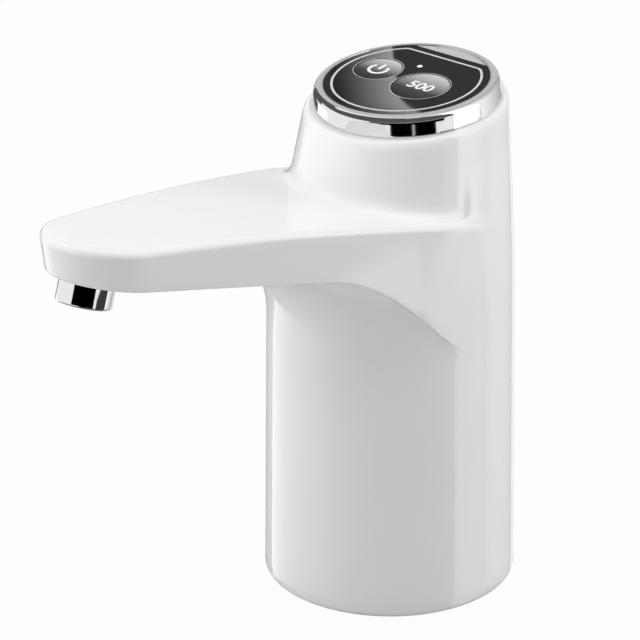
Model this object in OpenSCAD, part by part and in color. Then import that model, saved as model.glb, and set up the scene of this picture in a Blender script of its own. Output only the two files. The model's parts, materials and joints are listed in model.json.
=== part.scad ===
// Bottle-top electric water tap with a teardrop spout arm.
// Millimetres, +Z up. Origin: centre of the bottle socket's mouth. The arm points along -Y.

/* [Bottle socket] */
// Outside diameter of the bottle neck that the socket grips
neck_d = 55; // [53:0.5:60]
// Radial clearance round the neck
neck_gap = 0.25; // [0.1:0.05:0.6]
// Wall of the socket round the neck
collar_t = 4.95; // [4.5:0.05:6]
// Depth of the socket, up to the gasket
neck_depth = 20; // [15:0.5:24]
// Thickness of the gasket that the neck presses on
gasket_t = 1.6; // [1:0.1:3]
// Thickness of the socket's ceiling
ceiling_t = 3; // [2:0.5:5]
// Inside radius of the well round the intake barb
well_r = 9.2; // [8:0.1:9.5]
// Height of the well above the socket's ceiling
well_h = 13; // [11:0.5:16]

/* [Body] */
// Wall thickness of the housing
wall = 2.2; // [1.8:0.1:2.6]
// Growth of the body's radius from the arm's top down to the bottom
body_flare = 0.6; // [0.2:0.1:1.5]

/* [Arm] */
// Reach of the arm's tip from the body axis
arm_reach = 129; // [122:1:140]
// Radius of the arm's nose, seen from above
nose_r = 18; // [16:0.5:20]
// Height of the arm's top surface at the body axis
arm_root_z = 115.3; // [113:0.1:118]
// Height of the arm's top surface at the tip
arm_tip_z = 139.3; // [137:0.1:142]
// Rise of the arm's crown above a straight line
arm_crown = 2.1; // [1:0.1:3]
// Height of the underside's plane at the body axis
under_root_z = 100.9; // [99:0.1:102.5]
// Thickness of the arm at its tip
arm_tip_t = 8.8; // [7.8:0.1:11]
// Radius of the fillet between the body and the arm's underside
under_fillet = 25; // [18:0.5:28]
// Clearance round the cover of the arm
cover_gap = 0.15; // [0.1:0.05:0.3]

/* [Head] */
// Step from the body's plan in to the foot of the leaning head
head_step = 1.45; // [1:0.05:2]
// Shift of the head's upright back past the radius of the body's top
head_back = 0.1; // [-1:0.05:0.1]
// Height of the bezel's seat above the bottom
seat_z = 142.9; // [141:0.1:147]
// Tilt of the bezel and the panel towards the arm, degrees
seat_tilt = 5.9; // [3:0.1:8]

/* [Panel] */
// Width of the chrome bezel
ring_w = 3.2; // [2.8:0.1:4]
// Step from the head's top edge in to the bezel
ring_step = 1.8; // [1.2:0.1:2]
// Height of the panel's face above the bezel's seat
panel_h = 5; // [4.4:0.1:5.6]
// Thickness of the panel
panel_t = 2; // [1.5:0.1:2.4]
// Depth of the segment that the panel's straight back edge leaves
chord_in = 4.2; // [3:0.1:5]
// Radius of the power button
power_r = 7; // [6:0.1:7.4]
// Radius of the dose button
dose_r = 8.4; // [7:0.1:9]
// Width of the panel between the two buttons, along X
button_web = 2.3; // [2:0.1:4]
// Width of the panel outside the power button
power_edge = 4.9; // [3.5:0.1:6]
// Width of the panel outside the dose button
dose_edge = 8.4; // [4:0.1:10]
// Radial clearance round the buttons
button_gap = 0.2; // [0.15:0.05:0.4]
// Travel of the buttons
button_travel = 0.6; // [0.4:0.1:0.8]

/* [Outlet] */
// Outside radius of the chrome nozzle
nozzle_r = 7.5; // [6.8:0.1:7.6]
// Length of the nozzle below the arm
nozzle_drop = 7.5; // [5:0.5:12]
// Outward lean of the nozzle, degrees
nozzle_lean = 18; // [13:1:20]
// Distance of the nozzle's centre from the arm's tip
nozzle_back = 10.3; // [10.2:0.1:12]
// Outside radius of the outlet hose
hose_r = 2.8; // [2.5:0.1:2.9]
// Bore radius of the outlet hose
hose_bore = 2; // [1.8:0.1:2.1]

/* [Pump and motor] */
// Centre distance of the pump gears
gear_pitch = 11.2; // [11.2:0.1:11.8]
// Outside radius of a pump gear
gear_r = 6.4; // [6.2:0.05:6.4]
// Face width of the pump gears
gear_w = 7; // [5:0.5:9]
// Running clearance of the pump gears
gear_gap = 0.3; // [0.25:0.05:0.5]
// Radius of the motor shaft
shaft_r = 1.5; // [1.2:0.1:1.8]
// Radius of the motor can
motor_r = 12; // [11.5:0.1:12.5]
// Length of the motor can
motor_len = 29; // [26:1:32]

/* [Battery] */
// Radius of the battery cell
cell_r = 9.2; // [9:0.05:9.4]
// Length of the battery cell
cell_len = 65; // [60:1:68]

/* [Hidden] */
$fn = 72;
far = 400;
eps = 0.05;
fit = 0.1;
screw_r = 1.1;
head_r = 2;
head_h = 1.3;

// Heights of the socket and of what stands on its ceiling
neck_r = neck_d / 2 + neck_gap;
ceiling_z = neck_depth + gasket_t;
floor_z = ceiling_z + ceiling_t;
well_top_z = ceiling_z + well_h;
well_wall = 1.8;
gasket_step = 0.7;
gasket_r = neck_r - gasket_step;
gasket_well_gap = 2;
collar_r = neck_r + collar_t;
inner_r = collar_r + fit;
body_r = inner_r + wall;
body_low_r = body_r + body_flare;

// Arm: the crown is an arc over the straight line from root to tip
rim_gap = 0.15;
plan_r = body_r - rim_gap;
under_tip_z = arm_tip_z - arm_tip_t;
under_slope = atan((under_tip_z - under_root_z) / arm_reach);
chord_len = norm([arm_reach, arm_tip_z - arm_root_z]);
crown_r = chord_len * chord_len / (8 * arm_crown) + arm_crown / 2;
crown_u = arm_reach / 2 + (crown_r - arm_crown) * (arm_tip_z - arm_root_z) / chord_len;
crown_z = (arm_root_z + arm_tip_z) / 2 - (crown_r - arm_crown) * arm_reach / chord_len;
function top_z(u) = crown_z + sqrt(crown_r * crown_r - (u - crown_u) * (u - crown_u));
function under_z(u) = under_root_z + u * tan(under_slope);
function mid_z(u) = (top_z(u) + under_z(u)) / 2;
column_over = 20;
column_under = 30;
arm_col_h = arm_tip_z + column_over;
cover_root = 1;
cover_nose = 26;
fillet_u = body_r + under_fillet;
cover_from = fillet_u + cover_root;
cover_to = arm_reach - cover_nose;
cover_inset = wall + 1.2;
arm_boss_r = 2.4;
arm_boss_in = [6, 5];
arm_boss_x = [15, 10];
arm_boss_spots = [for (s = [-1, 1]) each [[s * arm_boss_x[0], cover_from + arm_boss_in[0]],
                                          [s * arm_boss_x[1], cover_to - arm_boss_in[1]]]];
arm_screw_len = 5;

// Head: a cone that leans until its back is upright, cut by the bezel's seat
panel_r = (power_edge + 2 * power_r + button_web + 2 * dose_r + dose_edge) / 2;
ring_bore_r = panel_r + fit;
ring_r = ring_bore_r + ring_w;
head_top_r = ring_r + ring_step;
head_low_r = plan_r - head_step;
head_low_z = 101;
head_lean = atan((head_low_r - head_top_r) / (seat_z - head_low_z));
head_low_y = body_r + head_back - head_low_r * cos(head_lean);
head_y = head_low_y + (seat_z - head_low_z) * tan(head_lean);
head_len = norm([head_y - head_low_y, seat_z - head_low_z]);
head_over = 8;
head_over_r = head_top_r + (head_top_r - head_low_r) * head_over / head_len;

// Bezel and panel, heights measured from the seat along its normal
ring_rise = 0.6;
ring_top_h = panel_h + ring_rise;
skirt_gap = 0.5;
skirt_r = head_top_r - wall - skirt_gap;
skirt_t = 1.3;
skirt_h = 3;
ledge_w = 1.9;
gasket_h = 0.3;
ledge_top_h = panel_h - panel_t - gasket_h;
ledge_t = 1;
chord_y = panel_r - chord_in;
power_at = [power_edge + power_r - panel_r, 1.1];
dose_at = [panel_r - dose_edge - dose_r, -1.5];
led_at = [-2.4, 8.6];
pipe_r = 0.8;
flange_w = 0.8;
flange_t = 1;
flange_top_h = panel_h - panel_t - fit;
stem_r = 1.6;
carrier_top_h = ledge_top_h - ledge_t;
carrier_t = 1.4;
carrier_gap = 0.4;
carrier_h = flange_top_h - flange_t - button_travel - carrier_gap - carrier_t;
board_gap = 6;
board_t = 1.6;
board_top_h = carrier_h - board_gap;
board_gap_r = 4.3;
board_r = ring_bore_r - board_gap_r;
switch_w = 6;
switch_h = 3.5;
plunger_r = 1.7;
plunger_over = 0.9;
plunger_len = 2.4;
plunger_top_h = board_top_h + switch_h + plunger_over;
board_post_r = 2.2;
board_post_in = 2.5;
board_post_at = board_r - board_post_in;
board_screw_len = 5;
board_post_angles = [70, 200, 310];

// Pump: inlet on the body axis, gears in front of it, outlet towards the arm
port_off = 5.5;
port_r = 2;
mesh_y = -port_off;
drive_at = [gear_pitch / 2, mesh_y];
idler_at = [-gear_pitch / 2, mesh_y];
teeth = 10;
tooth_root = 1.45;
root_r = gear_pitch / 2 - tooth_root;
pitch_r = gear_pitch / 2;
pump_wall = 4.3;
pump_out_r = gear_r + gear_gap + pump_wall;
pump_lid_t = 3;
pump_roof_t = 2.2;
pump_screw_in = 2;
pump_screw_over = 2;
pump_spot = (pump_out_r - pump_screw_in) / sqrt(2);
pump_spots = [for (sx = [-1, 1], sy = [-1, 1]) [sx * (gear_pitch / 2 + pump_spot), mesh_y + sy * pump_spot]];
barb_r = 4;
barb_bore = 2.4;
barb_flange_r = 6.4;
barb_flange_t = 1.6;
spigot_r = 3;
spigot_len = 5;
feed_r = 4.6;
feed_gap = 3;
pump_low_z = well_top_z + well_wall + barb_flange_t + 2 * spigot_len + feed_gap;
gear_low_z = pump_low_z + pump_lid_t + gear_gap;
pump_top_z = gear_low_z + gear_w + gear_gap + pump_roof_t;
port_z = gear_low_z + gear_w / 2;
pin_r = 1.5;
pin_gap = 0.03;
seal_r = 3.4;

// Chassis plate over the pump, on posts that rise from the socket's ceiling
chassis_t = 3;
chassis_top_z = pump_top_z + chassis_t;
chassis_gap = 1;
chassis_r = inner_r - chassis_gap;
post_r = 3.2;
post_in = 6.3;
post_at = inner_r - post_in;
post_screw_len = 6;
post_angles = [0, 210, 330];
post_top_z = pump_top_z;
lug_at = neck_r + collar_t / 2;
lug_head_depth = 4;
collar_screw_len = 7;
lug_w = 8;
lug_h = 6;
lug_angles = [30, 180, 270];

// Motor on the chassis
can_t = 0.9;
can_floor_t = 1.4;
motor_top_z = chassis_top_z + motor_len;
end_cap_t = 3;
magnet_t = 1.4;
magnet_gap = 0.5;
arm_r = motor_r - can_t - magnet_t - magnet_gap;
magnet_split = 6;
motor_screw_in = 4.5;
motor_spots = [for (s = [-1, 1]) [drive_at[0], drive_at[1] + s * (motor_r - motor_screw_in)]];
magnet_in = 4;
armature_in = 5;
shaft_over = 2;
run_gap = 0.06;

// Battery beside the motor, charging board at the back
cradle_t = 1.5;
cell_gap = 0.3;
cell_at = inner_r - cell_gap - cradle_t - cell_r;
cell_angle = 140;
cell_low_z = floor_z + cradle_t;
charge_z = 36;
charge_in = 5;
charge_y = inner_r - charge_in;
charge_w = 16;
charge_board_h = 15;
charge_board_t = 1.6;
socket_w = 9;
socket_h = 3.3;

// Nozzle and hose
nozzle_u = arm_reach - nozzle_back;
nozzle_wall = 1.2;
nozzle_bore = nozzle_r - nozzle_wall;
pad_w = 1.9;
pad_r = nozzle_r + pad_w;
pad_h = 3;
nut_h = 1.2;
elbow_r = 4.6;
elbow_cap = 0.13;
elbow_run = 26;
elbow_in = 3;
hose_lap = 17;
hose_fit = 0.15;
elbow_spigot_r = hose_bore - hose_fit;
elbow_roof_gap = 0.4;
elbow_bore = 1.6;
elbow_spigot_u = nozzle_u - elbow_run;
elbow_rise = top_z(nozzle_u - elbow_in) - wall - elbow_roof_gap - elbow_spigot_r - mid_z(elbow_spigot_u);
elbow_slope = atan(elbow_rise / (elbow_run - elbow_in));
function spigot_z(u) = mid_z(elbow_spigot_u) + (u - elbow_spigot_u) * tan(elbow_slope);
elbow_h = spigot_z(nozzle_u) - under_z(nozzle_u) + elbow_cap;
hose_end_u = nozzle_u - hose_lap;
hose_sides = 10;
hose_gap = 2.4;
hose_y = inner_r - hose_r - hose_gap;
hose_bend = 6;
pump_face_y = pump_out_r + port_off;
hose_lead = 0.6;
hose_rise = 20;
hose_turn = [[0, 14], [0.8, 8.2], [3, 3.6], [7, 0.6]];
hose_steps = 6;
hose_arm_from = hose_y + 16;
hose_arm_to = elbow_spigot_u - 5;
hose_path = concat(
    [[pump_face_y + hose_lead, port_z],
     [hose_y - hose_bend, port_z]],
    [for (a = [30, 60, 90]) [hose_y - hose_bend + hose_bend * sin(a), port_z + hose_bend * (1 - cos(a))]],
    [[hose_y, port_z + hose_rise]],
    [for (t = hose_turn) [hose_y + t[0], mid_z(hose_y + t[0]) - t[1]]],
    [for (i = [0:hose_steps - 1])
        let (u = hose_arm_from + (hose_arm_to - hose_arm_from) * i / (hose_steps - 1)) [u, mid_z(u)]],
    [for (u = [elbow_spigot_u - 1, hose_end_u]) [u, spigot_z(u)]]);

// Shared shapes

module at(p, z = 0) {
    translate([p[0], p[1], z]) children();
}

module turned(a, r, z = 0) {
    rotate([0, 0, a]) translate([r, 0, z]) children();
}

module tube(r, bore, h) {
    difference() {
        cylinder(h = h, r = r);
        translate([0, 0, -1]) cylinder(h = h + 2, r = bore);
    }
}

module screw(len) {
    translate([0, 0, -head_h]) cylinder(h = head_h, r = head_r);
    translate([0, 0, -eps]) cylinder(h = len + eps, r = screw_r);
}

module seat_frame() {
    translate([0, head_y, seat_z]) rotate([seat_tilt, 0, 0]) children();
}

module under_frame() {
    translate([0, 0, under_root_z]) rotate([-under_slope, 0, 0]) children();
}

module nozzle_frame() {
    translate([0, -nozzle_u, under_z(nozzle_u)]) rotate([-nozzle_lean, 0, 0]) children();
}

// Column over the plan of body and arm: two circles and the straight walls between them
module arm_column(inset) {
    big = plan_r - inset;
    small = nose_r - inset;
    nose_u = arm_reach - nose_r;
    a = asin((big - small) / nose_u);
    b = big - eps;
    s = small - eps;
    low_z = under_root_z - column_under;
    h = arm_col_h - low_z;
    translate([0, 0, low_z]) union() {
        cylinder(h = h, r = big, $fn = 144);
        translate([0, -nose_u, 0]) cylinder(h = h, r = small);
        linear_extrude(height = h)
            polygon([[b * cos(a), -b * sin(a)], [s * cos(a), -nose_u - s * sin(a)],
                     [-s * cos(a), -nose_u - s * sin(a)], [-b * cos(a), -b * sin(a)]]);
    }
}

// Slab along the arm's underside, from one distance to another and from one height to another
module under_slab(u0, u1, h0, h1) {
    c = cos(under_slope);
    under_frame() translate([-far / 2, -u1 / c, h0]) cube([far, (u1 - u0) / c, h1 - h0]);
}

module crown(inset) {
    translate([0, -crown_u, crown_z]) rotate([0, 90, 0])
        cylinder(h = far, r = crown_r - inset, center = true, $fn = 1440);
}

// Body and arm together, drawn in by inset on every side
module body_and_arm(inset, low_r) {
    intersection() {
        union() {
            cylinder(h = arm_col_h, r1 = low_r, r2 = body_r - inset, $fn = 144);
            difference() {
                arm_column(inset);
                under_slab(-far / 2, far, -far, inset);
            }
        }
        crown(inset);
    }
}

module head_cone(inset) {
    translate([0, head_low_y, head_low_z]) rotate([-head_lean, 0, 0])
        cylinder(h = head_len + head_over, r1 = head_low_r - inset, r2 = head_over_r - inset, $fn = 144);
}

// Fillet between the body and the arm's underside, sheared to the underside's slope,
// kept inside the arm's plan and drawn in by inset
module arm_fillet(inset) {
    from_r = inner_r - wall;
    drawn = inset / cos(under_slope) + (inset > 0 ? eps : 0);
    intersection() {
        multmatrix([[1, 0, 0, 0], [0, 1, 0, 0], [0, -tan(under_slope), 1, under_root_z], [0, 0, 0, 1]])
            rotate_extrude($fn = 144) difference() {
                translate([from_r, -under_fillet]) square([fillet_u - from_r, under_fillet + wall + inset]);
                translate([fillet_u, -under_fillet]) circle(r = under_fillet + drawn);
            }
        arm_column(eps + inset);
    }
}

module port_slot(w, h, len) {
    rotate([90, 0, 0]) linear_extrude(height = len, center = true) {
        square([w - h, h], center = true);
        for (s = [-1, 1]) translate([s * (w - h) / 2, 0]) circle(d = h);
    }
}

// Hollow hose along points in the plane of the arm, [reach, height]
function bore_dir(path, i) =
    let (a = path[max(i - 1, 0)], b = path[min(i + 1, len(path) - 1)], d = b - a) d / norm(d);
function hose_ring(path, i, r) =
    let (d = bore_dir(path, i))
    [for (k = [0:hose_sides - 1])
        let (t = 360 * k / hose_sides, c = r * cos(t), s = r * sin(t))
        [s, -(path[i][0] - c * d[1]), path[i][1] + c * d[0]]];

module hose(path, r, bore) {
    n = len(path);
    m = hose_sides;
    points = concat([for (i = [0:n - 1]) each hose_ring(path, i, r)],
                    [for (i = [0:n - 1]) each hose_ring(path, i, bore)]);
    inner = n * m;
    last = (n - 1) * m;
    faces = concat(
        [for (i = [0:n - 2], k = [0:m - 1])
            each let (k2 = (k + 1) % m, a = i * m + k, b = i * m + k2, c = a + m, d = b + m) [[a, c, b], [b, c, d]]],
        [for (i = [0:n - 2], k = [0:m - 1])
            each let (k2 = (k + 1) % m, a = inner + i * m + k, b = inner + i * m + k2, c = a + m, d = b + m)
                [[a, b, c], [b, d, c]]],
        [for (k = [0:m - 1])
            each let (k2 = (k + 1) % m) [[k, k2, inner + k], [k2, inner + k2, inner + k]]],
        [for (k = [0:m - 1])
            each let (k2 = (k + 1) % m, a = last + k, b = last + k2) [[a, inner + a, b], [b, inner + a, inner + b]]]);
    polyhedron(points = points, faces = faces);
}

// Pump gear with narrow straight-flanked teeth
module gear(bore) {
    step = 360 / teeth;
    difference() {
        linear_extrude(height = gear_w) union() {
            circle(r = root_r);
            for (i = [0:teeth - 1]) rotate(i * step)
                polygon([for (q = [[root_r - 0.4, -8], [pitch_r, -5.4], [gear_r, -2.6],
                                   [gear_r, 2.6], [pitch_r, 5.4], [root_r - 0.4, 8]])
                            q[0] * [cos(q[1]), sin(q[1])]]);
        }
        translate([0, 0, -1]) cylinder(h = gear_w + 2, r = bore);
    }
}

module pump_plan(r) {
    union() {
        translate(drive_at) circle(r = r);
        translate(idler_at) circle(r = r);
        translate([0, mesh_y]) square([gear_pitch, 2 * r - 2 * eps], center = true);
    }
}

module pump_holes(r, z0, z1) {
    for (p = pump_spots) at(p, z0) cylinder(h = z1 - z0, r = r);
}

// Housing

module body_shell() {
    color("white") difference() {
        union() {
            difference() {
                union() {
                    body_and_arm(0, body_low_r);
                    arm_fillet(0);
                    intersection() {
                        head_cone(0);
                        seat_frame() translate([0, 0, -far / 2]) cube([far, far, far], center = true);
                    }
                }
                body_and_arm(wall, inner_r);
                arm_fillet(wall);
                translate([0, 0, -1]) cylinder(h = under_root_z, r = inner_r);
                head_cone(wall);
                intersection() {
                    arm_column(cover_inset);
                    under_slab(cover_from, cover_to, -1, wall + 1);
                }
            }
            shell_lugs();
            arm_bosses();
            nozzle_pad();
        }
        for (a = lug_angles) turned(a, lug_at, floor_z - 1) cylinder(h = lug_h, r = screw_r);
        nozzle_frame() translate([0, 0, -4]) cylinder(h = pad_h + 4 + fit, r = nozzle_r + fit);
        translate([0, body_r, charge_z]) port_slot(socket_w + 0.6, socket_h + 0.6, 4 * wall);
        arm_pilot_holes();
    }
}

module shell_lugs() {
    intersection() {
        for (a = lug_angles) turned(a, lug_at - 2.2, floor_z) translate([0, -lug_w / 2, 0]) cube([8, lug_w, lug_h]);
        cylinder(h = far, r = inner_r + wall / 2);
    }
}

module arm_bosses() {
    intersection() {
        under_frame() for (p = arm_boss_spots)
            translate([p[0], -p[1] / cos(under_slope), wall]) cylinder(h = 20, r = arm_boss_r);
        crown(wall / 2);
    }
}

module arm_pilot_holes() {
    under_frame() for (p = arm_boss_spots)
        translate([p[0], -p[1] / cos(under_slope), 0]) cylinder(h = wall + 5, r = screw_r);
}

module nozzle_pad() {
    intersection() {
        nozzle_frame() translate([0, 0, -6]) cylinder(h = pad_h + 6, r = pad_r);
        under_slab(0, far, wall / 2, far);
    }
}

module arm_cover() {
    color("white") difference() {
        intersection() {
            arm_column(cover_inset + cover_gap);
            under_slab(cover_from + cover_gap, cover_to - cover_gap, 0, wall);
        }
        under_frame() for (p = arm_boss_spots) translate([p[0], -p[1] / cos(under_slope), -1]) {
            cylinder(h = wall + 2, r = screw_r + fit);
            cylinder(h = 1 + head_h, r = head_r + fit);
        }
    }
}

module arm_screws() {
    color("silver") under_frame() for (p = arm_boss_spots)
        translate([p[0], -p[1] / cos(under_slope), head_h]) screw(arm_screw_len);
}

module bottle_collar() {
    root_z = ceiling_z + ceiling_t / 2;
    color("gainsboro") difference() {
        union() {
            difference() {
                cylinder(h = floor_z, r = collar_r, $fn = 144);
                translate([0, 0, -1]) cylinder(h = neck_depth + 1, r = neck_r, $fn = 144);
                translate([0, 0, neck_depth - eps]) cylinder(h = gasket_t + eps, r = gasket_r + fit, $fn = 144);
            }
            translate([0, 0, root_z]) cylinder(h = well_top_z + well_wall - root_z, r = well_r + well_wall);
            for (a = post_angles) turned(a, post_at, root_z) cylinder(h = post_top_z - root_z, r = post_r);
        }
        translate([0, 0, ceiling_z - 1]) cylinder(h = well_h + 1, r = well_r);
        cylinder(h = far, r = spigot_r + fit);
        for (a = post_angles) turned(a, post_at, post_top_z - 8) cylinder(h = 10, r = screw_r);
        for (a = lug_angles) turned(a, lug_at, -1) {
            cylinder(h = floor_z + 2, r = screw_r + fit);
            cylinder(h = floor_z - lug_head_depth + 1, r = head_r + fit);
        }
    }
}

module collar_screws() {
    color("silver") for (a = lug_angles) turned(a, lug_at, floor_z - lug_head_depth) screw(collar_screw_len);
}

module neck_gasket() {
    color("dimgray") translate([0, 0, neck_depth]) tube(gasket_r, well_r + gasket_well_gap, gasket_t);
}

// Water path

module intake_barb() {
    flange_z = well_top_z + well_wall;
    color("white") difference() {
        union() {
            translate([0, 0, ceiling_z + 1]) cylinder(h = well_h - 3, r = barb_r);
            translate([0, 0, well_top_z - 2 - eps]) cylinder(h = 2 + eps, r = barb_flange_r);
            translate([0, 0, well_top_z - eps]) cylinder(h = well_wall + 2 * eps, r = spigot_r);
            translate([0, 0, flange_z]) cylinder(h = barb_flange_t, r = barb_flange_r);
            translate([0, 0, flange_z + barb_flange_t - eps]) cylinder(h = spigot_len + eps, r = spigot_r);
        }
        cylinder(h = far, r = barb_bore);
    }
}

module intake_tube() {
    color("lightgray") translate([0, 0, well_top_z + well_wall + barb_flange_t])
        tube(feed_r, spigot_r + pin_gap, 2 * spigot_len + feed_gap);
}

module pump_body() {
    h = pump_top_z - pump_low_z - pump_lid_t;
    color("ivory") difference() {
        union() {
            translate([0, 0, pump_low_z + pump_lid_t]) linear_extrude(height = h) pump_plan(pump_out_r);
            translate([0, 1 - pump_face_y, port_z]) rotate([90, 0, 0]) cylinder(h = 1 + spigot_len, r = elbow_spigot_r);
        }
        translate([0, 0, pump_low_z + pump_lid_t - 1]) {
            at(drive_at) cylinder(h = gear_w + 2 * gear_gap + 1, r = gear_r + gear_gap);
            at(idler_at) cylinder(h = gear_w + 2 * gear_gap + 1, r = gear_r + gear_gap);
            cylinder(h = gear_w + 2 * gear_gap + 1, r = port_r);
        }
        translate([0, mesh_y, port_z]) rotate([90, 0, 0]) cylinder(h = far, r = 1.2);
        at(drive_at, pump_low_z) cylinder(h = far, r = seal_r);
        at(idler_at, pump_low_z) cylinder(h = pump_top_z - pump_low_z - 0.8, r = pin_r + pin_gap);
        pump_holes(screw_r + fit, pump_low_z, pump_top_z + 1);
    }
}

module pump_cover() {
    color("ivory") difference() {
        union() {
            translate([0, 0, pump_low_z]) linear_extrude(height = pump_lid_t) pump_plan(pump_out_r);
            translate([0, 0, pump_low_z - spigot_len]) cylinder(h = spigot_len + eps, r = spigot_r);
        }
        translate([0, 0, pump_low_z - spigot_len - 1]) cylinder(h = far, r = port_r);
        at(idler_at, pump_low_z + 1) cylinder(h = far, r = pin_r + pin_gap);
        pump_holes(screw_r + fit, pump_low_z - 1, pump_low_z + pump_lid_t + 1);
    }
}

module pump_screws() {
    color("silver") for (p = pump_spots) at(p, pump_low_z) screw(pump_top_z - pump_low_z + pump_screw_over);
}

module drive_gear() {
    color("wheat") at(drive_at, gear_low_z) gear(shaft_r);
}

module idler_gear() {
    color("wheat") at(idler_at, gear_low_z) rotate(180 / teeth) gear(pin_r + run_gap);
}

module idler_pin() {
    color("silver") at(idler_at, pump_low_z + 1) cylinder(h = pump_top_z - pump_low_z - 1.8, r = pin_r);
}

module shaft_seal() {
    color("dimgray") at(drive_at, pump_top_z - pump_roof_t) tube(seal_r, shaft_r + run_gap, pump_roof_t);
}

module outlet_tube() {
    color("whitesmoke") hose(hose_path, hose_r, hose_bore);
}

module nozzle() {
    color("silver") nozzle_frame() difference() {
        translate([0, 0, -nozzle_drop]) cylinder(h = nozzle_drop + pad_h + nut_h, r = nozzle_r);
        translate([0, 0, -nozzle_drop - 1]) cylinder(h = nozzle_drop + pad_h + nut_h + 2, r = nozzle_bore);
    }
}

module nozzle_nut() {
    color("dimgray") nozzle_frame() translate([0, 0, pad_h]) tube(pad_r - 0.2, nozzle_r + pin_gap, nut_h - 0.4);
}

module nozzle_elbow() {
    color("white") difference() {
        union() {
            nozzle_frame() {
                translate([0, 0, -1]) cylinder(h = pad_h + 1, r = nozzle_bore - pin_gap);
                cylinder(h = elbow_h, r = elbow_r);
            }
            spigot_frame(0) cylinder(h = elbow_run - elbow_in + 1 + nozzle_wall / 2, r = elbow_spigot_r);
        }
        nozzle_frame() translate([0, 0, -2]) cylinder(h = elbow_h + 1.2, r = elbow_bore);
        spigot_frame(1) cylinder(h = elbow_run - elbow_in + 2, r = elbow_spigot_r - nozzle_wall / 2);
    }
}

// Axis of the elbow's spigot, started early by the given length
module spigot_frame(lead) {
    translate([0, -elbow_spigot_u, mid_z(elbow_spigot_u)]) rotate([90 - elbow_slope, 0, 0])
        translate([0, 0, -lead]) children();
}

// Drive

module chassis() {
    color("darkgray") difference() {
        translate([0, 0, pump_top_z]) cylinder(h = chassis_t, r = chassis_r, $fn = 144);
        translate([0, 0, pump_top_z - 1]) {
            turned(cell_angle, cell_at) cylinder(h = far, r = cell_r + cradle_t + 0.3);
            turned(cell_angle, cell_at) translate([0, -10, 0]) cube([30, 20, far]);
            at(drive_at) cylinder(h = far, r = seal_r);
            for (a = post_angles) turned(a, post_at) cylinder(h = far, r = screw_r + fit);
            translate([0, -hose_y, 0]) cylinder(h = far, r = hose_r + 0.6);
            for (p = motor_spots) at(p) {
                cylinder(h = far, r = screw_r + fit);
                cylinder(h = 1 + head_h, r = head_r + fit);
            }
        }
        pump_holes(screw_r, pump_top_z - 1, chassis_top_z - 0.6);
    }
}

module chassis_screws() {
    color("silver") for (a = post_angles) turned(a, post_at, chassis_top_z) rotate([180, 0, 0]) screw(chassis_t + post_screw_len);
}

module motor_can() {
    color("lightsteelblue") at(drive_at, chassis_top_z) difference() {
        cylinder(h = motor_len, r = motor_r);
        translate([0, 0, can_floor_t]) cylinder(h = motor_len, r = motor_r - can_t);
        translate([0, 0, -1]) cylinder(h = 10, r = shaft_r + run_gap);
        for (p = motor_spots) at(p - drive_at, -1) cylinder(h = 10, r = screw_r);
    }
}

module motor_magnets() {
    r = motor_r - can_t;
    color("dimgray") at(drive_at, chassis_top_z + can_floor_t + magnet_in) difference() {
        tube(r, arm_r + magnet_gap, motor_len - can_floor_t - 2 * magnet_in);
        cube([magnet_split, far, far], center = true);
    }
}

module motor_end_cap() {
    color("white") at(drive_at, motor_top_z) tube(motor_r, shaft_r + run_gap, end_cap_t);
}

module motor_shaft() {
    color("silver") at(drive_at, gear_low_z) cylinder(h = motor_top_z + end_cap_t + shaft_over - gear_low_z, r = shaft_r);
}

module armature() {
    color("peru") at(drive_at, chassis_top_z + can_floor_t + armature_in)
        tube(arm_r, shaft_r, motor_len - can_floor_t - 2 * armature_in);
}

module motor_screws() {
    color("silver") for (p = motor_spots) at(p, pump_top_z + head_h) screw(chassis_t - head_h + can_floor_t);
}

// Battery and charging

module battery_cell() {
    color("steelblue") turned(cell_angle, cell_at, cell_low_z) {
        cylinder(h = cell_len, r = cell_r);
        translate([0, 0, cell_len - eps]) cylinder(h = 1, r = 2.8);
    }
}

module battery_cradle() {
    color("darkgray") turned(cell_angle, cell_at, floor_z) difference() {
        cylinder(h = cell_len * 0.8, r = cell_r + cradle_t);
        translate([0, 0, cradle_t]) cylinder(h = far, r = cell_r + pin_gap);
        translate([0, -cell_r * 0.8, cradle_t + 8]) cube([far, cell_r * 1.6, far]);
    }
}

module charge_board() {
    color("darkgreen") difference() {
        translate([-charge_w / 2, charge_y - charge_board_t, floor_z])
            cube([charge_w, charge_board_t, charge_board_h + charge_z - floor_z - 8]);
        for (s = [-1, 1]) translate([s * (charge_w / 2 - 2), charge_y, floor_z + 3]) rotate([90, 0, 0])
            cylinder(h = far, r = 1, center = true);
    }
}

module charge_socket() {
    depth = body_r - charge_y - 0.6;
    color("silver") difference() {
        translate([0, charge_y + depth / 2, charge_z]) port_slot(socket_w, socket_h, depth);
        translate([0, charge_y + 1 + depth / 2, charge_z]) port_slot(socket_w - 0.7, socket_h - 0.7, depth);
    }
}

// Top

module top_ring() {
    round_r = (ring_r - ring_bore_r) / 2;
    crest_r = (ring_r + ring_bore_r) / 2;
    color("silver") seat_frame() rotate_extrude($fn = 144) {
        difference() {
            union() {
                translate([ring_bore_r, 0]) square([ring_r - ring_bore_r, ring_top_h - round_r]);
                translate([crest_r, ring_top_h - round_r]) circle(r = round_r);
            }
            translate([ring_bore_r - 1, -far]) square([far, far]);
        }
        translate([skirt_r - skirt_t, -skirt_h]) square([skirt_t, skirt_h + eps]);
        translate([ring_bore_r - ledge_w, ledge_top_h - ledge_t]) square([ledge_w + 0.5, ledge_t]);
    }
}

// Outline of the panel: a disc with its back cut straight
module panel_plan(r, gap) {
    difference() {
        circle(r = r, $fn = 144);
        translate([-far / 2, chord_y - gap]) square([far, far]);
    }
}

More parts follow.
